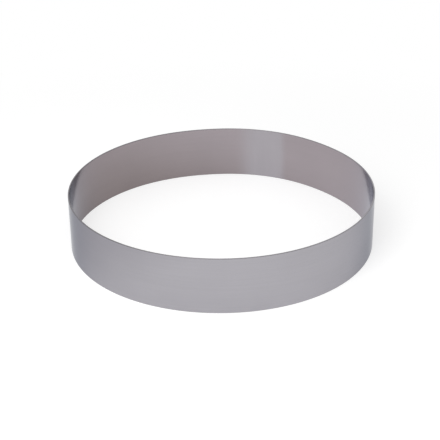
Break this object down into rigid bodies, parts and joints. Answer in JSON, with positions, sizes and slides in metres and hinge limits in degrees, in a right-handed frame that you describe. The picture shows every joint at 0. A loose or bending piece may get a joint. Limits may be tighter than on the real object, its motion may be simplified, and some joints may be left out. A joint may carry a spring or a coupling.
{
  "type": "pastry ring",
  "caption": "Round open-ended stainless steel hoop for cutting, baking and setting cakes, tart cases and layered desserts on a flat tray.",
  "frame": {"origin": "centre of the hoop's rolled arc, on the plane of its lower rim, which it stands on", "axes": "+Z along the hoop's axis from the lower rim to the upper rim; -Y is the side nearest the viewer in the picture; the weld stands 71 degrees round from +X towards +Y"},
  "size_m": [0.22, 0.2207, 0.04],
  "materials": {
    "stainless_steel": "cold-rolled satin, with the weld dressed by a fine belt"
  },
  "bodies": {
    "root": {"ring": "stainless_steel"}
  },
  "joints": []
}
